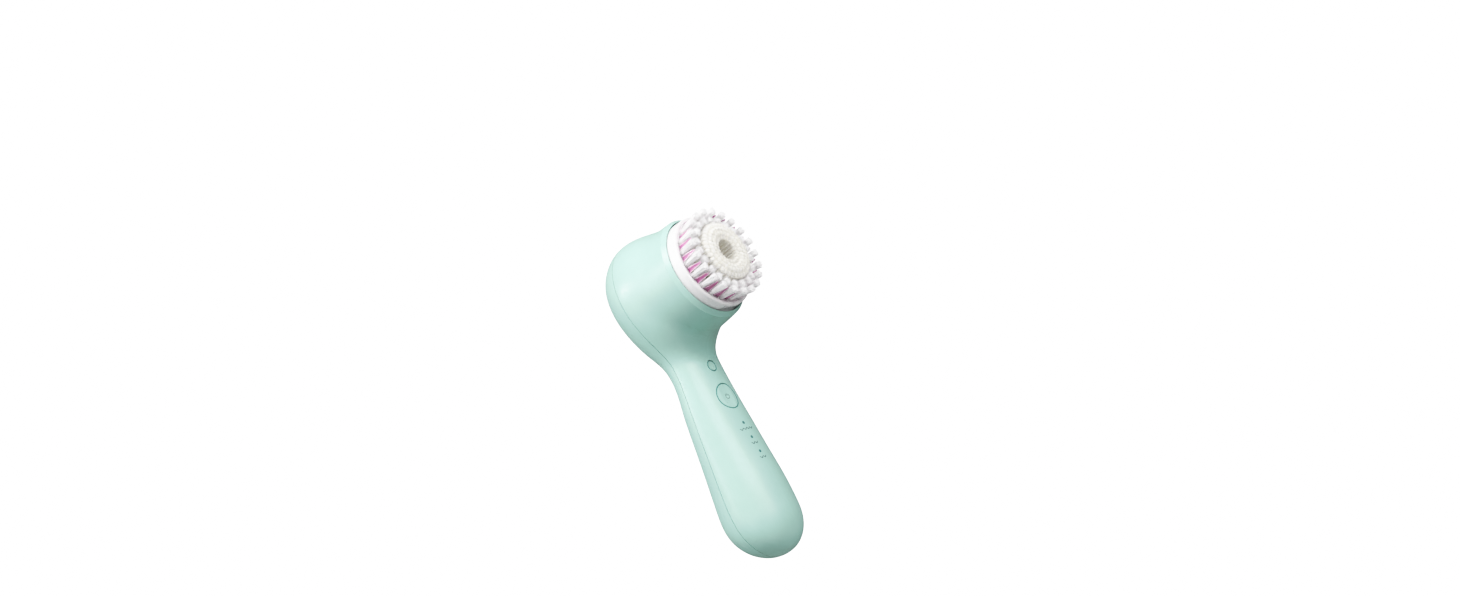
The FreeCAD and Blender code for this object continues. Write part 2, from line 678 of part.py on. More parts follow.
def makeMotor():
    """The fixed part of the motor: frame, bushes, stator, coil and blade springs."""
    frame = newBody("motor_frame", "head")
    plate = newSketch(frame, "XY_Plane", "plateFront - plateThickness")
    circle(plate, "plateRadius")
    circle(plate, "bushRadius")
    for x, y in screwPlaces(90):
        circle(plate, "screwRadius", x, y)
    pad(frame, plate, "plateThickness")
    posts = newSketch(frame, "XY_Plane", "plateFront")
    for x, y in screwPlaces(90):
        for radius in ("postRadius", "screwRadius"):
            circle(posts, radius, x, y)
    pad(frame, posts, "ledgeBack - plateFront")
    window = newSketch(frame, "XY_Plane", "plateFront")
    circle(window, "windowRadius", "windowCircle", "windowCircle")
    opening = pocket(frame, window, "plateThickness", True)
    polar(frame, [opening], window, "windowCount")
    rear = newSketch(frame, "XY_Plane", "rearPlateFront - plateThickness")
    rectangle(rear, "-railOuter", "railOuter", "-railHalf", "railHalf")
    circle(rear, "bushRadius")
    pad(frame, rear, "plateThickness")
    rails = newSketch(frame, "XY_Plane", "rearPlateFront")
    rectangle(rails, "-railOuter", "-railInner", "-railHalf", "railHalf")
    rectangle(rails, "railInner", "railOuter", "-railHalf", "railHalf")
    pad(frame, rails, "plateFront - plateThickness - rearPlateFront")
    cheeks = newSketch(frame, "XY_Plane", "coreBack")
    rectangle(cheeks, "-cheekOuter", "-cheekInner", "cheekBottom", "cheekTop")
    rectangle(cheeks, "cheekInner", "cheekOuter", "cheekBottom", "cheekTop")
    pad(frame, cheeks, "plateFront - plateThickness - coreBack")

    ringOf("front_bush", "head", "bushBore", "bushRadius", "frontBushBack", "frontBushFront")
    ringOf("rear_bush", "head", "bushBore", "bushRadius", "rearBushBack", "rearBushFront")

    core = newBody("stator_core", "head")
    sketch = newSketch(core, "XY_Plane", "coreBack")
    legInner = "yokeHalf - legWidth"
    right = [("yokeHalf", "yokeBottom"), ("yokeHalf", "legTop"), (legInner, "legTop"),
             (legInner, "yokeTop"), ("middleLegHalf", "yokeTop"), ("middleLegHalf", "middleLegTop")]
    left = [(f"-({x})", y) for x, y in reversed(right)]
    outline(sketch, right + left)
    pad(core, sketch, "coreFront - coreBack")

    # The coil and its bobbin stand round the middle leg, so they are drawn seen from above:
    # the sketch's X is across and its Y is along the shaft.
    wall = "middleLegHalf + bobbinWall"
    wallFront = "coreFront + bobbinWall"
    wallBack = "coreBack - bobbinWall"
    bobbin = newBody("coil_bobbin", "head")
    levels = (("coilBottom - bobbinFlange", "bobbinFlange", True),
              ("coilBottom", "coilTop - coilBottom", False),
              ("coilTop", "bobbinFlange", True))
    for level, height, flange in levels:
        sketch = newSketch(bobbin, "XZ_Plane", f"-({level})")
        rectangle(sketch, "-middleLegHalf", "middleLegHalf", "coreBack", "coreFront")
        if flange:
            rectangle(sketch, "-coilHalf", "coilHalf", "coreBack - coilOver", "coreFront + coilOver")
        else:
            rectangle(sketch, f"-({wall})", wall, wallBack, wallFront)
        pad(bobbin, sketch, height, True)
    coil = newBody("stator_coil", "head")
    sketch = newSketch(coil, "XZ_Plane", "-coilBottom")
    rectangle(sketch, f"-({wall})", wall, wallBack, wallFront)
    rectangle(sketch, "-coilHalf", "coilHalf", "coreBack - coilOver", "coreFront + coilOver")
    pad(coil, sketch, "coilTop - coilBottom", True)

    blades = newBody("return_blades", "head")
    sketch = newSketch(blades, "XY_Plane", "bladeBack")
    rectangle(sketch, "sleeveRadius + bladeGap", "railInner", "bladeBottom", "bladeTop")
    rectangle(sketch, "-railInner", "-sleeveRadius - bladeGap", "bladeBottom", "bladeTop")
    pad(blades, sketch, "bladeFront - bladeBack")


# Brush head

def makeBrushHead():
    """The carrier ring with the outer bristles and the retainer that locks it."""
    ring = turned("carrier_ring", "head", [
        ("ringFloorBore", "ringFloorBack"), ("ringSkirtBore", "ringFloorBack"),
        ("ringSkirtBore", "ringFoot"), ("ringRadius", "ringFoot"),
        ("ringTopRadius", "ringTop - ringLipRound"), ("ringTopRadius - ringLipRound", "ringTop"),
        ("ringLipBore + ringLipRound", "ringTop"), ("ringLipBore", "ringTop - ringLipRound"),
        ("ringLipBore", "ringFloorFront"), ("ringFloorBore", "ringFloorFront")])
    flat = newSketch(ring, "XY_Plane", "ringFlatBack")
    rectangle(flat, "-ringRadius", "ringRadius", "-ringRadius - 1", "-ringFlat")
    pocket(ring, flat, "ringFlatFront - ringFlatBack")

    washer = ringOf("retainer_ring", "head", "retainerBore", "retainerRadius",
                    "retainerBack", "ringFloorBack")
    lugs = []
    for i in range(3):
        lugs.append(sector(f"retainer_lug_{i + 1}", "head", "lugInner", "lugOuter",
                           f"90 + {120 * i}", "lugHalfAngle", "lugBack", "retainerBack + lugOverlap"))
    fuseOf("head_retainer", [washer] + lugs)

    count = int(size("tuftCount"))
    floor = size("ringFloorFront")
    lean = math.radians(size("tuftLean"))
    firstAngle = math.radians(size("tuftTurn"))
    root = size("tuftRoot")
    reach = size("ringRadius")
    belowFloor = Part.makeCylinder(reach, reach, Vector(0, 0, floor - reach))
    tufts = []
    fingers = []
    for i in range(count):
        for items, names, turn in ((tufts, "tuft", 0.0), (fingers, "finger", 0.5)):
            angle = firstAngle + 2 * math.pi * (i + turn) / count
            out = Vector(math.cos(angle), math.sin(angle), 0)
            axis = out * math.sin(lean) + Vector(0, 0, math.cos(lean))
            foot = out * size(names + "Circle") + Vector(0, 0, floor)
            cone = Part.makeCone(size(names + "Radius"), size(names + "Tip"),
                                 size(names + "Length") + root, foot - axis * root, axis)
            cone = cone.cut(belowFloor)
            items.append(inFrame(cone, "head"))
    pieceOf("outer_tufts", Part.makeCompound(tufts))
    pieceOf("soft_fingers", Part.makeCompound(fingers))
    turned("second_row_tufts", "head", [
        ("rowInner", "ringFloorFront"), ("rowOuter", "ringFloorFront"),
        ("rowOuter + rowLean", "rowFront"), ("rowInner + rowLean", "rowFront")])


def makeCore():
    """The middle of the brush, which swings with the drive hub."""
    ringOf("core_disc", "head", None, "coreRadius", "coreBackFace", "ringFloorFront")
    turned("core_tufts", "head", [
        ("coreTuftBore", "ringFloorFront"), ("coreTuftOuter", "ringFloorFront"),
        ("coreTuftSpread", "coreTuftShoulder"),
        ("coreTuftSpread - coreTuftRound", "coreTuftCrown - coreTuftRound"),
        ("coreTuftMiddle + coreTuftFlat", "coreTuftCrown"),
        ("coreTuftMiddle - coreTuftFlat", "coreTuftCrown"),
        ("coreTuftBore + coreTuftRound", "coreTuftCrown - coreTuftRound"),
        ("coreTuftBore", "coreTuftShoulder")])
    hub = newBody("core_hub", "head")
    sketch = newSketch(hub, "XY_Plane", "coreHubBack")
    circle(sketch, "coreHubRadius")
    pad(hub, sketch, "coreBackFace - coreHubBack")
    hole = newSketch(hub, "XY_Plane", "coreHubBack")
    circle(hole, "hubRadius + hubClearance")
    pocket(hub, hole, "hubHoleFront - coreHubBack")
    slot = newSketch(hub, "XY_Plane", "coreHubBack")
    side = "toothWidth / 2 + hubClearance"
    rectangle(slot, "hubRadius - 1", "toothTip + hubClearance", f"-({side})", side)
    cut = pocket(hub, slot, "hubHoleFront - coreHubBack")
    polar(hub, [cut], slot, "toothCount")


# Panel: buttons, board, lights

def makeButtons():
    """The two buttons. Each has a cap flush with the handle, a flange that keeps it in
    and a stem that reaches its switch."""
    for name, y in (("power", 0.0), ("mode", size("modeUp"))):
        flange = name + "FlangeFront"
        cap = rod("panel", name + "Radius", flange, "cutFront", 0, y).common(outerBody)
        ball = Part.makeSphere(size(name + "DishRadius"))
        ball.translate(Vector(0, y, size(name + "DishRadius") - size(name + "Dish")))
        cap = cap.cut(inFrame(ball, "panel"))
        collar = rod("panel", name + "Flange", f"{flange} - buttonFlange", flange, 0, y)
        stem = rod("panel", name + "Stem", "stemEnd", f"{flange} - buttonFlange", 0, y)
        pieceOf(name + "_button", cap.fuse([collar, stem]))
        ringOf(name + "_switch_plunger", "panel", None, name + "Plunger", "plungerEnd", "stemEnd", str(y))

    guide = newBody("button_guide", "panel")
    sketch = newSketch(guide, "XY_Plane", "guideBack")
    rectangle(sketch, "-guideHalf", "guideHalf", "guideBottom", "guideTop")
    circle(sketch, "powerStem + stemFit")
    circle(sketch, "modeStem + stemFit", "0", "modeUp")
    pad(guide, sketch, "guideFront - guideBack")
    posts = newSketch(guide, "XY_Plane", "boardFront")
    for x in ("-guidePostX", "guidePostX"):
        for y in ("guideBottom + guidePostInset", "guideTop - guidePostInset"):
            circle(posts, "guidePost", x, y)
    pad(guide, posts, "guideBack - boardFront")


def makeBoard():
    """The main board with its switches, lights and small parts."""
    board = newBody("main_board", "panel")
    sketch = newSketch(board, "XY_Plane", "boardBack")
    rectangle(sketch, "-boardHalf", "boardHalf", "boardBottom", "boardTop")
    for x in ("-boardScrewX", "boardScrewX"):
        for y in ("boardScrewTop", "boardScrewBottom"):
            circle(sketch, "screwRadius", x, y)
    pad(board, sketch, "boardFront - boardBack")
    screws("board_screws", "panel", boardSpots(), "boardBack", "boardScrewEnd")

    for name, y in (("power", "0"), ("mode", "modeUp")):
        switch = newBody(name + "_switch", "panel")
        sketch = newSketch(switch, "XY_Plane", "boardFront")
        half = name + "SwitchHalf"
        rectangle(sketch, "-" + half, half, f"{y} - {half}", f"{y} + {half}")
        circle(sketch, name + "Plunger + plungerFit", "0", y)
        pad(switch, sketch, "switchFront - boardFront")

    blockOf("controller_chip", "panel", "3", "8", "-24", "-19", "boardFront", "chipFront")
    parts = newBody("board_parts", "panel")
    sketch = newSketch(parts, "XY_Plane", "boardFront")
    for x, y, halfX, halfY in ((-6, -14, 1.6, 0.8), (-6, -17, 1.6, 0.8), (-6, -22, 1.2, 2.0),
                               (5.5, -14.5, 2.0, 1.0), (5.5, 9.5, 0.8, 1.6), (-5.5, 9.5, 0.8, 1.6)):
        rectangle(sketch, str(x - halfX), str(x + halfX), str(y - halfY), str(y + halfY))
    pad(parts, sketch, "partsFront - boardFront")

    leds = newBody("status_leds", "panel")
    sketch = newSketch(leds, "XY_Plane", "boardFront")
    for i in range(3):
        y = f"firstLight - {i} * lightPitch"
        rectangle(sketch, "-ledHalf", "ledHalf", f"{y} - ledHalf", f"{y} + ledHalf")
    pad(leds, sketch, "ledFront - boardFront")

    low = lightSpots()[-1] - size("lightBarHalf")
    high = lightSpots()[0] + size("lightBarHalf")
    half = size("lightBarHalf")
    thickness = size("lightBarFront") - size("lightBarBack")
    bar = Part.makeBox(2 * half, high - low, thickness, Vector(-half, low, size("lightBarBack")))
    pipes = [rod("panel", "lightRadius", "lightBack", "cutFront", 0, y) for y in lightSpots()]
    pieceOf("light_pipes", inFrame(bar, "panel").fuse(pipes).common(outerBody))


# Battery and charging

def makeBattery():
    """The cell in its cradle. The cell lies along the handle, so it is drawn end on."""
    cradle = newBody("battery_cradle", "panel")
    sketch = newSketch(cradle, "XY_Plane", "cradleBack")
    rectangle(sketch, "-cradleHalf", "cradleHalf", "cradleBottom", "cradleTop")
    pad(cradle, sketch, "cradleFront - cradleBack")
    channel = newSketch(cradle, "XZ_Plane", "-cradleTop")
    circle(channel, "cellRadius + cellFit", "0", "cellAxis")
    pocket(cradle, channel, "cradleTop - cradleBottom")
    mouth = newSketch(cradle, "XZ_Plane", "-cradleTop")
    side = "cellRadius + cellFit"
    rectangle(mouth, f"-({side})", side, "cradleBack - 1", "cellAxis")
    pocket(cradle, mouth, "cradleTop - cradleBottom")
    ear = newSketch(cradle, "XY_Plane", "cradleFront - earThickness")
    rectangle(ear, "-earHalf", "earHalf", "earBottom", "cradleBottom")
    circle(ear, "screwRadius", "0", "earScrew")
    pad(cradle, ear, "earThickness")
    screws("cradle_screw", "panel", [(0, size("earScrew"))], "cradleFront - earThickness", "earScrewEnd")

    cell = newBody("battery_cell", "panel")
    sketch = newSketch(cell, "XZ_Plane", "-cellTop")
    circle(sketch, "cellRadius", "0", "cellAxis")
    pad(cell, sketch, "cellLength")
    tabs = newBody("battery_tabs", "panel")
    for level in ("-cellTop - tabThickness", "cellLength - cellTop"):
        sketch = newSketch(tabs, "XZ_Plane", level)
        circle(sketch, "tabRadius", "0", "cellAxis")
        pad(tabs, sketch, "tabThickness")


def makeCharging():
    """The charging pad on the back and the coil behind it."""
    ringOf("charging_pad", "dock", None, "discRadius", "-discDepth - discThickness", "-discDepth")
    coilFront = "-dockBossDepth - layerGap"
    coilBack = "-dockBossDepth - layerGap - coilThickness"
    ringOf("charging_coil", "dock", "coilInner", "coilOuter", coilBack, coilFront)
    ringOf("dock_magnet", "dock", None, "dockMagnetRadius", coilBack, "-dockBossDepth")
    ringOf("ferrite_sheet", "dock", None, "ferriteRadius", f"{coilBack} - ferriteThickness", coilBack)


def makeLeads():
    """The insulated wires inside the handle, in pairs."""
    radius = size("leadRadius")
    boardBack = size("boardBack")
    coilBack = size("coreBack - coilOver")
    motor = []
    for side in (-1, 1):
        motor.append(lead([
            spot("head", side * 4.0, -17.0, coilBack), spot("head", side * 4.0, -18.5, -37.0),
            spot("head", side * 4.6, -26.0, -36.2), spot("head", side * 5.0, -33.0, -33.4),
            spot("panel", side * 5.0, 17.5, boardBack)], radius))
    pieceOf("motor_leads", Part.makeCompound(motor))

    cellTop = size("cellTop + tabThickness")
    cellBottom = size("cellTop - cellLength - tabThickness")
    battery = [
        lead([spot("panel", -1.5, cellTop, -14.0), spot("panel", -1.8, -21.0, -14.0),
              spot("panel", -3.2, -17.5, -12.4), spot("panel", -4.0, -15.5, boardBack)], radius),
        lead([spot("panel", 1.5, cellBottom, -14.0), spot("panel", 2.4, -61.4, -14.0),
              spot("panel", 9.0, -63.4, -14.2), spot("panel", 11.4, -57.6, -14.2),
              spot("panel", 11.2, -46.0, -14.0), spot("panel", 11.0, -36.0, -13.0),
              spot("panel", 9.4, -29.5, -12.4), spot("panel", 9.0, -26.0, boardBack)], radius),
    ]
    pieceOf("battery_leads", Part.makeCompound(battery))

    coil = []
    middle = spot("dock", 0, 0, size("-dockBossDepth - layerGap - coilThickness / 2"))
    for across, drop in ((0.8, 0.0), (-1.6, 1.7)):
        start = middle + Vector(-math.sqrt(size("coilOuter") ** 2 - across ** 2), 0, across)
        coil.append(lead([
            start, start + Vector(-1.3, -0.8, 1.2), spot("panel", -10.6, -47.0 - drop, -23.6),
            spot("panel", -11.2, -41.0 - drop, -17.6), spot("panel", -11.0, -34.6 - drop, -13.0),
            spot("panel", -9.4, -28.6 - drop, -11.4), spot("panel", -8.8, -25.4 - drop, boardBack)],
            radius))
    pieceOf("coil_leads", Part.makeCompound(coil))


makeShells()
makeSocket()
makeDrive()
makeMotor()
makeBrushHead()
makeCore()
makeButtons()
makeBoard()
makeBattery()
makeCharging()
makeLeads()
doc.recompute()

# Checks and files

nodes = [
    "front_shell", "back_shell", "shell_gasket", "head_socket", "shaft_seal", "socket_screws",
    "frame_screws", "drive_shaft", "shaft_clip", "drive_hub", "armature", "armature_magnets",
    "motor_frame", "front_bush", "rear_bush", "stator_core", "coil_bobbin", "stator_coil",
    "return_blades", "carrier_ring", "head_retainer", "outer_tufts", "soft_fingers",
    "second_row_tufts", "core_disc", "core_tufts", "core_hub", "power_button", "mode_button",
    "power_switch_plunger", "mode_switch_plunger", "button_guide", "main_board", "board_screws",
    "power_switch", "mode_switch", "controller_chip", "board_parts", "status_leds", "light_pipes",
    "battery_cradle", "cradle_screw", "battery_cell", "battery_tabs", "charging_pad",
    "charging_coil", "dock_magnet", "ferrite_sheet", "motor_leads", "battery_leads", "coil_leads",
]

for item in doc.Objects:
    if "Invalid" in item.State or "Error" in item.State:
        raise RuntimeError(f"{item.Label}: {item.State}")

os.makedirs("parts", exist_ok=True)
total = FreeCAD.BoundBox()
for name in nodes:
    shape = doc.getObjectsByLabel(name)[0].Shape
    if shape.isNull() or not shape.isValid():
        raise RuntimeError(name + ": the shape is not valid")
    total.add(shape.BoundBox)
    shape.exportStep(f"parts/{name}.step")
    print(f"{name}: {len(shape.Solids)} solid(s), {shape.Volume:.1f} mm3")
print(f"{len(nodes)} nodes, {total}")
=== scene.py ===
import json
import math
import random

import bmesh
import bpy
from mathutils import Matrix, Vector
from mathutils.bvhtree import BVHTree


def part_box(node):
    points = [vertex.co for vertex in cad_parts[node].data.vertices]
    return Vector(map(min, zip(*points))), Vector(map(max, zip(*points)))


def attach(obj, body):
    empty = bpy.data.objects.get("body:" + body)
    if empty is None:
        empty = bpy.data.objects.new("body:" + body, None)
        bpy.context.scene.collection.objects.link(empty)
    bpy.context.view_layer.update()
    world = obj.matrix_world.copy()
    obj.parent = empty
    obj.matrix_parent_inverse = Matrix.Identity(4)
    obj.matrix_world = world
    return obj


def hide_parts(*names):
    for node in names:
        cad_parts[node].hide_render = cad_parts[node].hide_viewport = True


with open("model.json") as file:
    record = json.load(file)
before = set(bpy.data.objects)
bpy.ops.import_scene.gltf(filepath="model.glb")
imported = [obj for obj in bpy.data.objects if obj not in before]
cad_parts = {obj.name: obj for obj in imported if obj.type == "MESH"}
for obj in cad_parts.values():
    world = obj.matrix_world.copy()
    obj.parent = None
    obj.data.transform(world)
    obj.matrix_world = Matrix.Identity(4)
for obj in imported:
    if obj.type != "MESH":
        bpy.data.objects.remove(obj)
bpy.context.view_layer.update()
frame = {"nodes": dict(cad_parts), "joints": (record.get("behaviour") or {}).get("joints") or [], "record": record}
nodes = frame["nodes"]
record = frame["record"]
joints = {joint["name"]: joint for joint in frame["joints"]}
scene = bpy.context.scene
mm = 0.001
print("frame loaded:", len(nodes), "nodes")

# The brush axis runs through the drive hinge, parallel to Y. Points of the brush head are
# given round it: across, up, and how far in front of the barrel's rim.
hingePlace = Vector(joints["drive_oscillation"]["pos_m"])


def headPoint(across, up, forward):
    return hingePlace + Vector((across, -forward, up))


def roundHead(radius, angle, forward):
    return headPoint(radius * math.cos(angle), radius * math.sin(angle), forward)


# The panel is the handle's front. It is measured from the middle of the power button, and
# it faces against the way the button is pressed.
panelOut = -Vector(joints["power_press"]["axis"])
panelUp = Vector((1, 0, 0)).cross(panelOut) * -1
buttonLow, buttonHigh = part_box("power_button")
panelMiddle = (buttonLow + buttonHigh) / 2


def panelPoint(across, up, out=0.0):
    return panelMiddle + Vector((across, 0, 0)) + panelUp * up + panelOut * out


# Where the camera stands round the brush, in degrees from +X, how high, how it is rolled,
# and where it aims, measured from the power button.
cameraSetup = {
    "azimuth": 215.1, "elevation": -12.36, "roll": -27.56,
    "distance": 1.1, "lens": 61.72, "aimAcross": 2.6 * mm, "aimUp": 44.3 * mm,
    "clipStart": 0.01,
}


def cameraAxes():
    azimuth = math.radians(cameraSetup["azimuth"])
    elevation = math.radians(cameraSetup["elevation"])
    roll = math.radians(cameraSetup["roll"])
    level = math.cos(elevation)
    toward = Vector((level * math.cos(azimuth), level * math.sin(azimuth), math.sin(elevation)))
    flatRight = Vector((0, 0, 1)).cross(toward).normalized()
    flatUp = toward.cross(flatRight)
    right = flatRight * math.cos(roll) + flatUp * math.sin(roll)
    return right, toward.cross(right), toward


viewRight, viewUp, viewToward = cameraAxes()


def standing(place, right, up, toward):
    turn = Matrix((right, up, toward)).transposed().to_4x4()
    return Matrix.Translation(place) @ turn


def makeCamera():
    data = bpy.data.cameras.new("camera")
    data.lens = cameraSetup["lens"]
    data.clip_start = cameraSetup["clipStart"]
    camera = bpy.data.objects.new("camera", data)
    scene.collection.objects.link(camera)
    aim = panelMiddle + viewRight * cameraSetup["aimAcross"] + viewUp * cameraSetup["aimUp"]
    place = aim + viewToward * cameraSetup["distance"]
    camera.matrix_world = standing(place, viewRight, viewUp, viewToward)
    scene.camera = camera


# Each softbox: how far right, up and towards the camera it stands, its width and height,
# and its power in watts.
softboxes = {
    "keyBox": ((-0.65, 0.62, 0.50), 0.45, 0.45, 5.4),
    "faceBox": ((0.35, 0.80, 0.60), 0.70, 0.70, 5.0),
    "streakBox": ((-0.80, 0.05, 0.50), 0.10, 0.45, 1.2),
    "spotBox": ((-0.89, 0.07, 0.09), 0.08, 0.08, 1.1),
}
studio = {
    "worldStrength": 0.10, "backdropStrength": 1.0, "floorDrop": 0.90, "floorReach": 12.0,
    "floorPale": 0.6, "floorColour": (0.82, 0.82, 0.82, 1), "floorRough": 0.9,
    # how far above the power button the softboxes point
    "targetRise": 0.02,
    # how the picture's brightness follows the light's, from black to white
    "tone": ((0.0, 0.0), (0.05, 0.085), (0.1, 0.19), (0.155, 0.34), (0.225, 0.49),
             (0.31, 0.64), (0.4, 0.745), (0.5, 0.85), (0.7, 0.96), (1.0, 1.0)),
}


def makeLights():
    target = panelMiddle + Vector((0, 0, studio["targetRise"]))
    for name, (offset, width, height, power) in softboxes.items():
        data = bpy.data.lights.new(name, "AREA")
        data.shape = "RECTANGLE"
        data.size = width
        data.size_y = height
        data.energy = power
        light = bpy.data.objects.new(name, data)
        scene.collection.objects.link(light)
        right, up, toward = offset
        place = target + viewRight * right + viewUp * up + viewToward * toward
        back = (place - target).normalized()
        side = viewUp.cross(back).normalized()
        light.matrix_world = standing(place, side, back.cross(side), back)


def link(tree, source, sink):
    tree.links.new(source, sink)


def makeWorld():
    world = bpy.data.worlds.new("studio")
    scene.world = world
    world.use_nodes = True
    tree = world.node_tree
    tree.nodes.clear()
    output = tree.nodes.new("ShaderNodeOutputWorld")
    mix = tree.nodes.new("ShaderNodeMixShader")
    path = tree.nodes.new("ShaderNodeLightPath")
    soft = tree.nodes.new("ShaderNodeBackground")
    soft.inputs["Color"].default_value = (1, 1, 1, 1)
    soft.inputs["Strength"].default_value = studio["worldStrength"]
    backdrop = tree.nodes.new("ShaderNodeBackground")
    backdrop.inputs["Color"].default_value = (1, 1, 1, 1)
    backdrop.inputs["Strength"].default_value = studio["backdropStrength"]
    link(tree, path.outputs["Is Camera Ray"], mix.inputs["Fac"])
    link(tree, soft.outputs["Background"], mix.inputs[1])
    link(tree, backdrop.outputs["Background"], mix.inputs[2])
    link(tree, mix.outputs["Shader"], output.inputs["Surface"])


def makeFloor():
    mesh = bpy.data.meshes.new("floor")
    reach = studio["floorReach"]
    level = -studio["floorDrop"]
    corners = [(-reach, -reach, level), (reach, -reach, level),
               (reach, reach, level), (-reach, reach, level)]
    mesh.from_pydata(corners, [], [(0, 1, 2, 3)])
    floor = bpy.data.objects.new("floor", mesh)
    scene.collection.objects.link(floor)
    material = bpy.data.materials.new("paleFloor")
    material.use_nodes = True
    tree = material.node_tree
    shader = tree.nodes["Principled BSDF"]
    shader.inputs["Base Color"].default_value = studio["floorColour"]
    shader.inputs["Roughness"].default_value = studio["floorRough"]
    shader.inputs["Specular IOR Level"].default_value = 0.0
    # Looked at directly the floor is as pale as the backdrop, but it throws little light up
    pale = tree.nodes.new("ShaderNodeEmission")
    pale.inputs["Strength"].default_value = studio["floorPale"]
    path = tree.nodes.new("ShaderNodeLightPath")
    mix = tree.nodes.new("ShaderNodeMixShader")
    link(tree, path.outputs["Is Camera Ray"], mix.inputs["Fac"])
    link(tree, shader.outputs["BSDF"], mix.inputs[1])
    link(tree, pale.outputs["Emission"], mix.inputs[2])
    link(tree, mix.outputs["Shader"], tree.nodes["Material Output"].inputs["Surface"])
    mesh.materials.append(material)


def setTone():
    view = scene.view_settings
    view.view_transform = "Standard"
    view.use_curve_mapping = True
    mapping = view.curve_mapping
    mapping.use_clip = False
    # The fourth curve is the one for all three colours together
    curve = mapping.curves[3]
    curve.points[0].location = studio["tone"][0]
    curve.points[1].location = studio["tone"][-1]
    for spot in studio["tone"][1:-1]:
        curve.points.new(*spot)
    mapping.update()


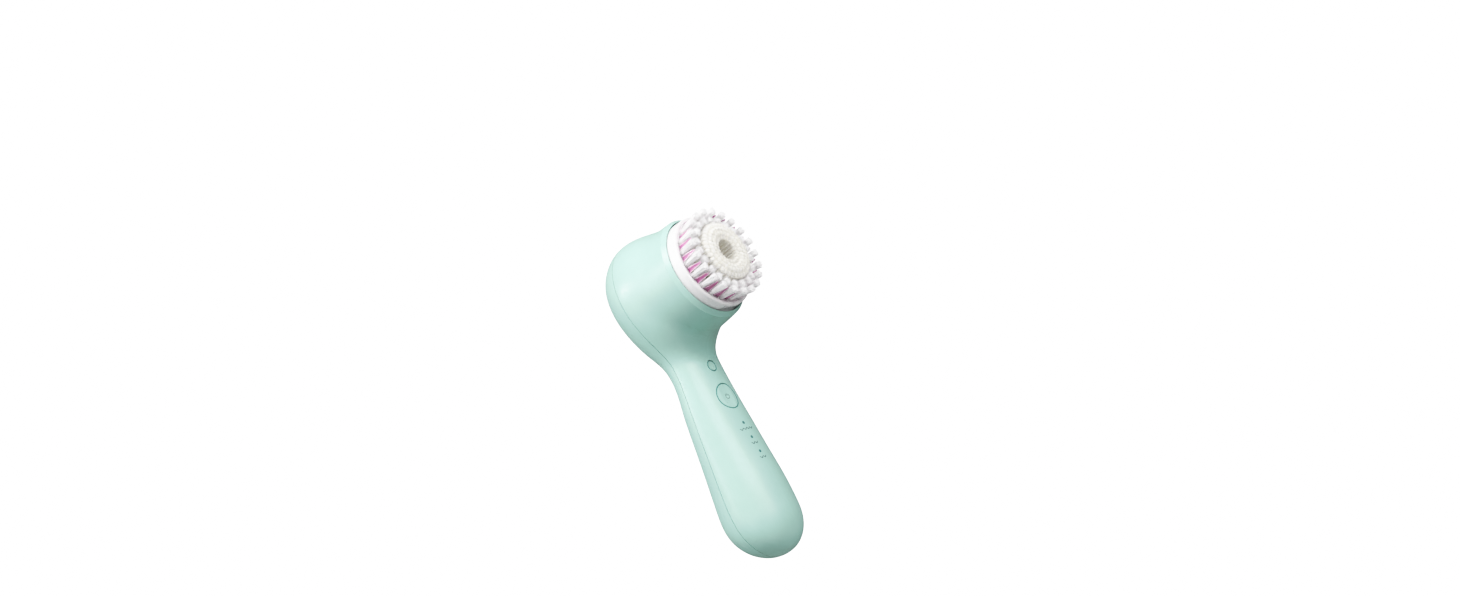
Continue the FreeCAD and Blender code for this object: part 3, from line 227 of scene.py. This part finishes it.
# Each finish: its colour, a second colour that it drifts to, how rough it is, how much the
# roughness varies, the grain in grains per metre and its depth in metres, and whatever
# else the shader needs.
finishes = {
    "mint_shell": {
        "colour": (0.39, 0.62, 0.55), "drift": (0.375, 0.605, 0.535), "rough": 0.36,
        "roughSpread": 0.05, "grain": 5200, "depth": 0.000004, "specular": 0.5,
    },
    "mint_button": {
        "colour": (0.39, 0.62, 0.55), "drift": (0.38, 0.61, 0.54), "rough": 0.30,
        "roughSpread": 0.04, "grain": 5200, "depth": 0.000003, "specular": 0.5,
    },
    "white_plastic": {
        "colour": (0.88, 0.87, 0.88), "drift": (0.86, 0.85, 0.86), "rough": 0.28,
        "roughSpread": 0.05, "grain": 3000, "depth": 0.000003, "specular": 0.5,
    },
    "white_bristle": {
        "colour": (0.98, 0.97, 0.97), "drift": (0.97, 0.95, 0.96), "rough": 0.46,
        "roughSpread": 0.10, "grain": 1500, "depth": 0.00001, "specular": 0.4,
        "under": 0.3, "spread": (1.0, 0.9, 0.95), "glow": 0.02,
    },
    "cream_bristle": {
        "colour": (0.97, 0.95, 0.89), "drift": (0.95, 0.92, 0.84), "rough": 0.55,
        "roughSpread": 0.10, "grain": 1500, "depth": 0.00001, "specular": 0.3,
        "under": 0.3, "spread": (1.0, 0.9, 0.7), "glow": 0.02,
    },
    "pink_elastomer": {
        "colour": (0.52, 0.19, 0.37), "drift": (0.47, 0.15, 0.32), "rough": 0.16,
        "roughSpread": 0.05, "grain": 900, "depth": 0.00001, "specular": 0.6, "coat": 0.5,
        # the paler edge colour is a painted highlight
        "under": 0.25, "spread": (1.0, 0.4, 0.6), "highlightEdge": (0.92, 0.66, 0.80),
    },
    "grey_plastic": {
        "colour": (0.26, 0.27, 0.28), "drift": (0.23, 0.24, 0.25), "rough": 0.5,
        "roughSpread": 0.08, "grain": 2600, "depth": 0.00001,
    },
    "seal_rubber": {
        "colour": (0.07, 0.16, 0.15), "drift": (0.06, 0.14, 0.13), "rough": 0.65,
        "roughSpread": 0.08, "grain": 2200, "depth": 0.00001,
    },
    "steel": {
        "colour": (0.58, 0.58, 0.59), "drift": (0.50, 0.50, 0.52), "rough": 0.28,
        "roughSpread": 0.12, "grain": 3800, "depth": 0.000004, "metal": 1.0,
    },
    "laminated_iron": {
        "colour": (0.33, 0.33, 0.35), "drift": (0.22, 0.22, 0.24), "rough": 0.42,
        "roughSpread": 0.12, "grain": 2000, "depth": 0.00002, "metal": 1.0, "layers": 1400,
    },
    "magnet": {
        "colour": (0.64, 0.63, 0.61), "drift": (0.56, 0.55, 0.53), "rough": 0.2,
        "roughSpread": 0.08, "grain": 1500, "depth": 0.000004, "metal": 1.0,
    },
    "bronze": {
        "colour": (0.50, 0.31, 0.13), "drift": (0.38, 0.23, 0.10), "rough": 0.42,
        "roughSpread": 0.12, "grain": 3500, "depth": 0.00001, "metal": 1.0,
    },
    "copper_wire": {
        "colour": (0.70, 0.27, 0.12), "drift": (0.54, 0.19, 0.08), "rough": 0.3,
        "roughSpread": 0.08, "grain": 1500, "depth": 0.00004, "metal": 1.0, "layers": 3200,
    },
    "circuit_board": {
        "colour": (0.012, 0.115, 0.05), "drift": (0.008, 0.075, 0.035), "rough": 0.35,
        "roughSpread": 0.08, "grain": 900, "depth": 0.00001, "coat": 0.3,
    },
    "component_black": {
        "colour": (0.018, 0.018, 0.02), "drift": (0.03, 0.03, 0.032), "rough": 0.48,
        "roughSpread": 0.1, "grain": 3000, "depth": 0.00001,
    },
    "clear_plastic": {
        "colour": (0.11, 0.24, 0.24), "drift": (0.09, 0.20, 0.20), "rough": 0.18,
        "roughSpread": 0.05, "grain": 1500, "depth": 0.000004, "coat": 0.4,
    },
    "cell_wrap": {
        "colour": (0.02, 0.09, 0.28), "drift": (0.015, 0.07, 0.22), "rough": 0.25,
        "roughSpread": 0.08, "grain": 700, "depth": 0.00002, "coat": 0.3,
    },
    "lead_insulation": {
        "colour": (0.42, 0.02, 0.02), "drift": (0.34, 0.015, 0.015), "rough": 0.35,
        "roughSpread": 0.08, "grain": 1200, "depth": 0.00001,
    },
    "ferrite": {
        "colour": (0.03, 0.03, 0.033), "drift": (0.05, 0.05, 0.052), "rough": 0.6,
        "roughSpread": 0.12, "grain": 2600, "depth": 0.00002,
    },
    "pad_metal": {
        "colour": (0.70, 0.71, 0.72), "drift": (0.60, 0.61, 0.63), "rough": 0.3,
        "roughSpread": 0.12, "grain": 2500, "depth": 0.000005, "metal": 1.0,
    },
    "printed_grey": {
        "colour": (0.13, 0.18, 0.18), "drift": (0.11, 0.16, 0.16), "rough": 0.5,
        "roughSpread": 0.05, "grain": 4000, "depth": 0.000002,
    },
    # dark rubber for the button gap rings, dark enough to paint the shade in the gaps as well
    "gap_rubber_shade": {
        "colour": (0.10, 0.24, 0.23), "drift": (0.09, 0.22, 0.21), "rough": 0.55,
        "roughSpread": 0.05, "grain": 4000, "depth": 0.000002,
    },
    # painted shade for the fine notch of the ring's parting mark
    "notch_shade": {
        "colour": (0.62, 0.61, 0.62), "drift": (0.58, 0.57, 0.58), "rough": 0.5,
        "roughSpread": 0.05, "grain": 4000, "depth": 0.000002,
    },
}


# Values that all finishes share. Noise mostly stays between low and high. The colour drifts
# and the roughness varies in grains coarser than the finish's own, by these shares.
shading = {
    "low": 0.3, "high": 0.7, "driftGrain": 0.04, "patchGrain": 0.1, "bump": 0.6,
    "coatRough": 0.08, "underScale": 0.0006,
}


def addNoise(tree, position, scale, detail):
    noise = tree.nodes.new("ShaderNodeTexNoise")
    noise.inputs["Scale"].default_value = scale
    noise.inputs["Detail"].default_value = detail
    link(tree, position, noise.inputs["Vector"])
    return noise.outputs["Fac"]


def addRange(tree, value, low, high):
    span = tree.nodes.new("ShaderNodeMapRange")
    span.inputs["From Min"].default_value = shading["low"]
    span.inputs["From Max"].default_value = shading["high"]
    span.inputs["To Min"].default_value = low
    span.inputs["To Max"].default_value = high
    link(tree, value, span.inputs["Value"])
    return span.outputs["Result"]


def makeFinish(name, finish):
    material = bpy.data.materials.new(name)
    material.use_nodes = True
    tree = material.node_tree
    shader = tree.nodes["Principled BSDF"]
    position = tree.nodes.new("ShaderNodeTexCoord").outputs["Object"]

    # On a colour mix, sockets 6 and 7 take the two colours and output 2 gives the result
    drift = tree.nodes.new("ShaderNodeMix")
    drift.data_type = "RGBA"
    drift.inputs[6].default_value = (*finish["colour"], 1)
    drift.inputs[7].default_value = (*finish["drift"], 1)
    cloud = addNoise(tree, position, finish["grain"] * shading["driftGrain"], 3)
    link(tree, addRange(tree, cloud, 0, 1), drift.inputs["Factor"])
    colour = drift.outputs[2]
    if "highlightEdge" in finish:
        # A painted highlight: a paler colour along the edges that a piece marks
        mark = tree.nodes.new("ShaderNodeAttribute")
        mark.attribute_name = "highlightEdge"
        pale = tree.nodes.new("ShaderNodeMix")
        pale.data_type = "RGBA"
        pale.inputs[7].default_value = (*finish["highlightEdge"], 1)
        link(tree, mark.outputs["Fac"], pale.inputs["Factor"])
        link(tree, colour, pale.inputs[6])
        colour = pale.outputs[2]
    link(tree, colour, shader.inputs["Base Color"])

    patches = addNoise(tree, position, finish["grain"] * shading["patchGrain"], 2)
    low = finish["rough"] - finish["roughSpread"]
    high = finish["rough"] + finish["roughSpread"]
    link(tree, addRange(tree, patches, low, high), shader.inputs["Roughness"])

    height = addNoise(tree, position, finish["grain"], 2)
    if "layers" in finish:
        wave = tree.nodes.new("ShaderNodeTexWave")
        wave.bands_direction = "Y"
        wave.inputs["Scale"].default_value = finish["layers"]
        link(tree, position, wave.inputs["Vector"])
        height = wave.outputs["Fac"]
    bump = tree.nodes.new("ShaderNodeBump")
    bump.inputs["Strength"].default_value = shading["bump"]
    bump.inputs["Distance"].default_value = finish["depth"]
    link(tree, height, bump.inputs["Height"])
    link(tree, bump.outputs["Normal"], shader.inputs["Normal"])

    shader.inputs["Metallic"].default_value = finish.get("metal", 0.0)
    shader.inputs["Specular IOR Level"].default_value = finish.get("specular", 0.5)
    shader.inputs["Coat Weight"].default_value = finish.get("coat", 0.0)
    shader.inputs["Coat Roughness"].default_value = shading["coatRough"]
    shader.inputs["Subsurface Weight"].default_value = finish.get("under", 0.0)
    shader.inputs["Subsurface Radius"].default_value = finish.get("spread", (1, 1, 1))
    shader.inputs["Subsurface Scale"].default_value = shading["underScale"]
    # A faint glow stands in for the light that soaks through a packed tuft
    link(tree, colour, shader.inputs["Emission Color"])
    shader.inputs["Emission Strength"].default_value = finish.get("glow", 0.0)
    return material


finishMaterials = {name: makeFinish(name, finish) for name, finish in finishes.items()}


def paintNodes():
    for part in record["subparts"]:
        slots = nodes[part["node"]].data.materials
        slots.clear()
        slots.append(finishMaterials[part["material_slot"]])
    print("nodes painted:", len(record["subparts"]))


def addPiece(name, verts, faces, finish, body, smooth=True):
    mesh = bpy.data.meshes.new(name)
    mesh.from_pydata(verts, [], faces)
    mesh.polygons.foreach_set("use_smooth", [smooth] * len(mesh.polygons))
    mesh.materials.append(finishMaterials[finish])
    mesh.update()
    piece = bpy.data.objects.new(name, mesh)
    scene.collection.objects.link(piece)
    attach(piece, body)
    print(name, len(faces), "faces")
    return piece


def bridge(faces, start, following, count):
    for i in range(count):
        after = (i + 1) % count
        faces.append((start + i, start + after, following + after, following + i))


def closeTop(verts, faces, start, count, tip):
    verts.append(tip)
    for i in range(count):
        faces.append((start + i, start + (i + 1) % count, len(verts) - 1))


# A filament is a thin round strand through its points. Its rounded tip is narrower and
# stands out by these shares of its radius.
strandTip = {"width": 0.62, "height": 0.7}


def addFilament(verts, faces, line, radius, sides):
    along = (line[-1] - line[0]).normalized()
    across = along.orthogonal().normalized()
    upward = along.cross(across)
    first = len(verts)
    last = len(line) - 1
    for index, point in enumerate(line):
        width = radius * (strandTip["width"] if index == last else 1.0)
        for side in range(sides):
            angle = 2 * math.pi * side / sides
            verts.append(point + (across * math.cos(angle) + upward * math.sin(angle)) * width)
        if index:
            start = first + (index - 1) * sides
            bridge(faces, start, start + sides, sides)
    tip = line[-1] + along * radius * strandTip["height"]
    closeTop(verts, faces, first + last * sides, sides, tip)
    faces.append(tuple(first + side for side in reversed(range(sides))))


def discSpots(count, rng):
    # Evenly spread places on a disc of radius 1, each nudged a little
    spots = []
    golden = math.pi * (3 - math.sqrt(5))
    for i in range(count):
        reach = math.sqrt((i + 0.5) / count)
        angle = i * golden + rng.uniform(-0.25, 0.25)
        spots.append((reach * math.cos(angle), reach * math.sin(angle)))
    return spots


# A packed core fills each tuft, so that only its outer strands and its tips stand apart.
corePack = {
    "share": 0.90, "around": 14,
    "rings": ((0.0, 1.0), (0.3, 1.0), (0.6, 1.0), (0.85, 1.0), (0.95, 0.86), (0.99, 0.5)),
}


# A tuft's place function tells where the strand at x, y of the tuft's unit disc is when it
# is a share of the way up.
def addTuft(verts, faces, tuft, place, rng):
    steps = tuft["steps"]
    for x, y in discSpots(tuft["filaments"], rng):
        cut = tuft["dome"] * (x * x + y * y) + rng.uniform(0, 1) * tuft["trim"]
        stop = 1 - cut / tuft["length"]
        sway = Vector((rng.uniform(-1, 1), rng.uniform(-0.5, 0.5), rng.uniform(-1, 1)))
        sway *= tuft["splay"]
        line = []
        for step in range(steps + 1):
            share = step / steps
            line.append(place(x, y, stop * share) + sway * share ** 3)
        addFilament(verts, faces, line, tuft["thickness"] / 2, tuft["sides"])
    around = corePack["around"]
    top = 1 - tuft["inset"] / tuft["length"]
    first = len(verts)
    for index, (height, width) in enumerate(corePack["rings"]):
        for side in range(around):
            angle = 2 * math.pi * side / around
            reach = corePack["share"] * width
            verts.append(place(reach * math.cos(angle), reach * math.sin(angle), top * height))
        if index:
            start = first + (index - 1) * around
            bridge(faces, start, start + around, around)
    closeTop(verts, faces, len(verts) - around, around, place(0, 0, top))
    faces.append(tuple(first + side for side in reversed(range(around))))


def frontOf(node):
    # How far the back end of a node on the head is in front of the barrel's rim
    low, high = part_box(node)
    return hingePlace.y - high.y


# The tufts and the soft fingers take turns round the ring; the second row stands behind
# the fingers.
ringCount = 21
firstTuft = math.radians(8.1)
outerTufts = {
    "circle": 18.7 * mm, "lean": 7.0, "filaments": 92, "thickness": 0.20 * mm, "steps": 4,
    "footRadius": 1.10 * mm, "tipRadius": 1.70 * mm, "length": 10.6 * mm, "trim": 0.50 * mm,
    "dome": 0.30 * mm, "inset": 0.50 * mm, "splay": 0.26 * mm, "sides": 5, "turn": 0.0,
    "seed": 11,
}
secondRow = {
    "circle": 15.4 * mm, "lean": 4.8, "filaments": 88, "thickness": 0.20 * mm, "steps": 4,
    "footRadius": 1.1 * mm, "tipRadius": 1.85 * mm, "length": 9.7 * mm, "trim": 0.45 * mm,
    "dome": 0.30 * mm, "inset": 0.48 * mm, "splay": 0.26 * mm, "sides": 5, "turn": 0.5,
    "seed": 23,
}
# How much one tuft differs from the next, and how late a tuft widens on its way up
tuftSpread = {"tilt": 0.025, "twist": 0.03, "length": 0.02, "slope": 0.035, "growth": 1.4}


def ringTurn(turn, index):
    return firstTuft + 2 * math.pi * (index + turn) / ringCount


def tuftRing(verts, faces, tuft, floor, rng):
    spread = tuftSpread
    lean = math.radians(tuft["lean"])
    for i in range(ringCount):
        angle = ringTurn(tuft["turn"], i)
        outward = Vector((math.cos(angle), 0, math.sin(angle)))
        tangent = Vector((-math.sin(angle), 0, math.cos(angle)))
        tilt = lean + rng.uniform(-spread["tilt"], spread["tilt"])
        axis = outward * math.sin(tilt) + Vector((0, -1, 0)) * math.cos(tilt)
        twist = rng.uniform(-spread["twist"], spread["twist"])
        axis = (axis + tangent * twist).normalized()
        side = axis.cross(outward).normalized()
        over = side.cross(axis)
        foot = roundHead(tuft["circle"], angle, floor)
        length = tuft["length"] * rng.uniform(1 - spread["length"], 1 + spread["length"])
        slope = rng.uniform(-spread["slope"], spread["slope"])

        def place(x, y, share):
            grow = share ** spread["growth"]
            width = tuft["footRadius"] + (tuft["tipRadius"] - tuft["footRadius"]) * grow
            reach = math.hypot(x, y)
            if reach:
                # Towards the tips the tuft's outline grows squarer
                corner = (abs(x / reach) ** 4 + abs(y / reach) ** 4) ** -0.25
                width *= 1 + (corner - 1) * grow
            height = length * share * (1 + slope * x)
            return foot + axis * height + (side * x + over * y) * width

        addTuft(verts, faces, tuft, place, rng)


def makeOuterBristles():
    for name, tuft, node in (
            ("outerBristles", outerTufts, "outer_tufts"),
            ("secondRowBristles", secondRow, "second_row_tufts")):
        verts = []
        faces = []
        tuftRing(verts, faces, tuft, frontOf("outer_tufts"), random.Random(tuft["seed"]))
        piece = addPiece(name, verts, faces, "white_bristle", "brush_head")
        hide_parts(node)


softFingers = {
    "circle": 18.95 * mm, "lean": 7.0, "length": 8.3 * mm, "halfWidth": 1.36 * mm,
    "tipHalfWidth": 0.24 * mm, "thickness": 1.05 * mm, "tipThickness": 0.40 * mm,
    "hollow": 0.62 * mm, "backHollow": 0.35, "curl": 0.5 * mm, "sway": 0.25 * mm,
    "lengthSpread": 0.02, "taper": 0.62, "sideShape": 0.8, "tipStart": 0.8,
    # where across a finger's section the painted highlight starts, how wide it fades in, and how far round the
    # back it reaches
    "highlightStart": 0.55, "highlightWidth": 0.3, "highlightBack": -0.3,
    "rings": 20, "around": 28, "seed": 5,
}


# Across a finger the outer face is hollow between two rounded edges, like a gouge. The third value tells how near
# a point is to such an edge, where the painted highlight lies.
def fingerSection(share):
    finger = softFingers
    taper = (1 - share) ** finger["taper"]
    tipWidth = finger["tipHalfWidth"]
    tipThickness = finger["tipThickness"]
    halfWidth = tipWidth + (finger["halfWidth"] - tipWidth) * taper
    thickness = tipThickness + (finger["thickness"] - tipThickness) * taper
    hollow = finger["hollow"] * taper * min(1.0, 6 * (1 - share))
    points = []
    count = finger["around"]
    for i in range(count):
        angle = 2 * math.pi * i / count
        x = math.cos(angle)
        y = math.sin(angle)
        wide = math.copysign(abs(x) ** finger["sideShape"], x)
        depth = thickness / 2 * y
        if y > 0:
            depth -= hollow * (1 - wide ** 2) * y
        else:
            depth -= hollow * finger["backHollow"] * (1 - wide ** 2)
        highlightEdge = 0.0
        if y > finger["highlightBack"]:
            highlightEdge = min(1.0, max(0.0, (abs(wide) - finger["highlightStart"]) / finger["highlightWidth"]))
        points.append((halfWidth * wide, depth, highlightEdge))
    return points


def makeSoftFingers():
    finger = softFingers
    floor = frontOf("soft_fingers")
    lean = math.radians(finger["lean"])
    rng = random.Random(finger["seed"])
    verts = []
    faces = []
    highlightEdges = []
    rings = finger["rings"]
    around = finger["around"]
    for i in range(ringCount):
        angle = ringTurn(0.5, i)
        outward = Vector((math.cos(angle), 0, math.sin(angle)))
        axis = outward * math.sin(lean) + Vector((0, -1, 0)) * math.cos(lean)
        side = axis.cross(outward).normalized()
        over = side.cross(axis)
        foot = roundHead(finger["circle"], angle, floor)
        sway = rng.uniform(-1, 1) * finger["sway"]
        spread = finger["lengthSpread"]
        length = finger["length"] * rng.uniform(1 - spread, 1 + spread)
        bend = side * sway - over * finger["curl"]
        first = len(verts)
        for ring in range(rings):
            share = ring / (rings - 1)
            along = math.sin(share * math.pi / 2) ** 0.9 if ring else 0.0
            centre = foot + axis * length * along + bend * along ** 2
            tip = max(0.0, (share - finger["tipStart"]) / (1 - finger["tipStart"]))
            close = math.sqrt(max(0.0, 1 - tip ** 2))
            for x, y, highlightEdge in fingerSection(along):
                verts.append(centre + side * x * close + over * y * close)
                highlightEdges.append(highlightEdge * min(1.0, 8 * along + 0.3))
            if ring:
                start = first + (ring - 1) * around
                bridge(faces, start, start + around, around)
        faces.append(tuple(first + k for k in reversed(range(around))))
    piece = addPiece("softFingers", verts, faces, "pink_elastomer", "brush_head")
    # Marks where the painted highlight lies, fading towards each finger's foot
    mark = piece.data.attributes.new("highlightEdge", "FLOAT", "POINT")
    mark.data.foreach_set("value", highlightEdges)
    clean = bmesh.new()
    clean.from_mesh(piece.data)
    bmesh.ops.remove_doubles(clean, verts=clean.verts, dist=0.002 * mm)
    bmesh.ops.recalc_face_normals(clean, faces=clean.faces)
    clean.to_mesh(piece.data)
    clean.free()
    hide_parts("soft_fingers")


middleBristles = {
    # each row: radius of its circle at the foot and at the tips, how many tufts, and a tuft's
    # own radius at the foot and at the tip
    "rows": ((5.95 * mm, 5.95 * mm, 20, 0.80 * mm, 0.86 * mm),
             (7.9 * mm, 8.2 * mm, 24, 0.9 * mm, 1.5 * mm),
             (9.7 * mm, 10.5 * mm, 30, 0.9 * mm, 1.5 * mm),
             (11.5 * mm, 12.9 * mm, 40, 0.8 * mm, 1.25 * mm)),
    "filaments": 44, "thickness": 0.21 * mm, "length": 11.0 * mm, "steps": 3, "sides": 3,
    "crown": 16.9 * mm, "crownRadius": 9.6 * mm, "fallOut": 0.085, "fallIn": 0.055,
    "dome": 0.06 * mm, "trim": 0.35 * mm, "inset": 0.32 * mm, "splay": 0.14 * mm,
    "growth": 1.5, "turnSpread": 0.015, "liftSpread": 0.12 * mm, "seed": 41,
}


# How high the trimmed tips stand at a distance from the axis
def trimmedHeight(radius):
    middle = middleBristles
    off = (radius - middle["crownRadius"]) / mm
    fall = middle["fallOut"] if off > 0 else middle["fallIn"]
    return middle["crown"] - fall * off ** 2 * mm


def makeMiddleBristles():
    middle = middleBristles
    floor = frontOf("core_tufts")
    rng = random.Random(middle["seed"])
    verts = []
    faces = []
    for row, (footCircle, tipCircle, count, footRadius, tipRadius) in enumerate(middle["rows"]):
        for i in range(count):
            angle = 2 * math.pi * (i + 0.5 * (row % 2)) / count
            angle += rng.uniform(-middle["turnSpread"], middle["turnSpread"])
            outward = Vector((math.cos(angle), 0, math.sin(angle)))
            tangent = Vector((-math.sin(angle), 0, math.cos(angle)))
            lift = rng.uniform(-1, 1) * middle["liftSpread"]

            def place(x, y, share):
                grow = max(share, 0.0) ** middle["growth"]
                ring = footCircle + (tipCircle - footCircle) * grow
                width = footRadius + (tipRadius - footRadius) * grow
                spot = outward * (ring + x * width) + tangent * y * width
                top = trimmedHeight(tipCircle + x * tipRadius) + lift
                return headPoint(spot.x, spot.z, floor + (top - floor) * share)

            addTuft(verts, faces, middle, place, rng)
    piece = addPiece("middleBristles", verts, faces, "cream_bristle", "brush_core")
    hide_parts("core_tufts")


# The rays that find a printed point's place start this far from the panel, or from the
# brush axis.
rayStart = {"panel": 20 * mm, "ring": 40 * mm}


# A ray finds where a printed point lies on a node. The aim function gives the ray's start
# and direction for a point of the drawing.
def surfaceOf(nodeName, aim):
    mesh = nodes[nodeName].data
    mesh.calc_loop_triangles()
    triangles = [tuple(triangle.vertices) for triangle in mesh.loop_triangles]
    tree = BVHTree.FromPolygons([vertex.co for vertex in mesh.vertices], triangles)

    def onto(across, up, proud):
        start, direction = aim(across, up)
        place, _, _, _ = tree.ray_cast(start, direction)
        return place - direction * proud
    return onto


def panelAim(across, up):
    return panelPoint(across, up, rayStart["panel"]), -panelOut


# A printed line is a thin flat band laid on a surface along its points, a little proud of it.
def addBand(verts, faces, points, stroke, onto, proud):
    first = len(verts)
    last = len(points) - 1
    for index, point in enumerate(points):
        before = points[max(index - 1, 0)]
        after = points[min(index + 1, last)]
        along = Vector((after[0] - before[0], after[1] - before[1])).normalized()
        side = Vector((-along.y, along.x)) * stroke / 2
        for offset in (-1, 1):
            x = point[0] + side.x * offset
            y = point[1] + side.y * offset
            verts.append(onto(x, y, proud))
            verts.append(onto(x, y, -proud))
        if index:
            a = first + (index - 1) * 4
            b = a + 4
            faces.append((a, a + 2, b + 2, b))
            faces.append((a + 1, b + 1, b + 3, a + 3))
            faces.append((a, b, b + 1, a + 1))
            faces.append((a + 2, a + 3, b + 3, b + 2))
    end = first + last * 4
    faces.append((first, first + 1, first + 3, first + 2))
    faces.append((end, end + 2, end + 3, end + 1))


standbyMark = {
    "radius": 1.15 * mm, "stroke": 0.32 * mm, "gap": 70.0, "arcSteps": 32,
    "barLow": 0.30 * mm, "bar": 1.15 * mm, "barSteps": 4, "proud": 0.02 * mm,
}


def makeStandbyMark():
    mark = standbyMark
    onto = surfaceOf("power_button", panelAim)
    verts = []
    faces = []
    gap = math.radians(mark["gap"])
    arc = []
    for i in range(mark["arcSteps"] + 1):
        angle = math.pi / 2 + gap / 2 + (2 * math.pi - gap) * i / mark["arcSteps"]
        arc.append((mark["radius"] * math.cos(angle), mark["radius"] * math.sin(angle)))
    addBand(verts, faces, arc, mark["stroke"], onto, mark["proud"])
    steps = mark["barSteps"]
    bar = [(0.0, mark["barLow"] + mark["bar"] * i / steps) for i in range(steps + 1)]
    addBand(verts, faces, bar, mark["stroke"], onto, mark["proud"])
    piece = addPiece("standbyMark", verts, faces, "printed_grey", "power_button", False)


# A soft dark rubber ring lines the gap round each button, a little below the surface. Its dark colour also paints
# the shade that falls in the gap.
gapShadeRings = {
    # each ring: its button, how far above the power button, and the button's radius
    "rings": (("power_button", 0.0, 5.9 * mm), ("mode_button", 15.2 * mm, 2.25 * mm)),
    "clearance": 0.05 * mm, "width": 0.50 * mm, "below": 0.10 * mm, "depth": 0.60 * mm,
    # how far inside the button's rim its height is felt
    "feel": 0.1 * mm, "around": 96,
}


def makeGapShadeRings():
    ring = gapShadeRings
    verts = []
    faces = []
    around = ring["around"]
    for node, up, radius in ring["rings"]:
        onto = surfaceOf(node, panelAim)
        first = len(verts)
        for i in range(around):
            angle = 2 * math.pi * i / around
            x = math.cos(angle)
            y = math.sin(angle)
            felt = radius - ring["feel"]
            rim = onto(felt * x, up + felt * y, 0)
            height = (rim - panelMiddle).dot(panelOut) - ring["below"]
            inner = radius + ring["clearance"]
            outer = inner + ring["width"]
            for reach, out in ((inner, height), (outer, height),
                               (outer, height - ring["depth"]), (inner, height - ring["depth"])):
                verts.append(panelPoint(reach * x, up + reach * y, out))
        for i in range(around):
            a = first + 4 * i
            b = first + 4 * ((i + 1) % around)
            for k in range(4):
                after = (k + 1) % 4
                faces.append((a + k, a + after, b + after, b + k))
    piece = addPiece("buttonGapShadeRings", verts, faces, "gap_rubber_shade", "handle", False)


waveSteps = 12


def wave(length, height, waves, middle):
    steps = waves * waveSteps
    points = []
    for i in range(steps + 1):
        across = waves * length * (i / steps - 0.5)
        points.append((across, middle + height * math.cos(2 * math.pi * i / waveSteps)))
    return points


modeMarks = {
    # each mark: how far its light is above the power button, and how many waves it has
    "rows": ((-13.9 * mm, 4), (-21.2 * mm, 2), (-28.5 * mm, 2)),
    "below": 2.9 * mm, "waveLength": 2.2 * mm, "halfHeight": 0.38 * mm, "stroke": 0.38 * mm,
    "proud": 0.02 * mm,
}


def makeModeMarks():
    mark = modeMarks
    onto = surfaceOf("front_shell", panelAim)
    verts = []
    faces = []
    for light, waves in mark["rows"]:
        points = wave(mark["waveLength"], mark["halfHeight"], waves, light - mark["below"])
        addBand(verts, faces, points, mark["stroke"], onto, mark["proud"])
    piece = addPiece("modeMarks", verts, faces, "printed_grey", "handle", False)


# The index mark is a thin grey band laid on the white ring: painted shade that stands in for a fine notch. The
# relief is a wave band of the ring's own white.
ringMarks = {
    "indexAngle": 281.0, "indexLow": 1.0 * mm, "indexHigh": 4.2 * mm, "indexSteps": 6,
    "indexStroke": 0.24 * mm,
    "reliefAngle": 222.0, "reliefWaves": 12, "reliefLength": 1.9 * mm, "reliefHeight": 0.75 * mm,
    "reliefForward": 2.4 * mm, "reliefStroke": 0.40 * mm, "proud": 0.03 * mm, "reach": 22.0 * mm,
}


def ringAim(angle):
    def aim(across, forward):
        turn = math.radians(angle) + across / ringMarks["reach"]
        outward = Vector((math.cos(turn), 0, math.sin(turn)))
        return roundHead(rayStart["ring"], turn, forward), -outward
    return aim


def makeRingMarks():
    mark = ringMarks
    verts = []
    faces = []
    onto = surfaceOf("carrier_ring", ringAim(mark["indexAngle"]))
    steps = mark["indexSteps"]
    rise = mark["indexHigh"] - mark["indexLow"]
    line = [(0.0, mark["indexLow"] + rise * i / steps) for i in range(steps + 1)]
    addBand(verts, faces, line, mark["indexStroke"], onto, mark["proud"])
    piece = addPiece("ringIndexMark", verts, faces, "notch_shade", "brush_head", False)

    verts = []
    faces = []
    onto = surfaceOf("carrier_ring", ringAim(mark["reliefAngle"]))
    points = wave(mark["reliefLength"], mark["reliefHeight"], mark["reliefWaves"],
                  mark["reliefForward"])
    addBand(verts, faces, points, mark["reliefStroke"], onto, mark["proud"])
    piece = addPiece("ringRelief", verts, faces, "white_plastic", "brush_head", False)


makeCamera()
makeLights()
makeWorld()
makeFloor()
setTone()
print("studio ready")
paintNodes()
makeOuterBristles()
makeSoftFingers()
makeMiddleBristles()
makeGapShadeRings()
makeStandbyMark()
makeModeMarks()
makeRingMarks()
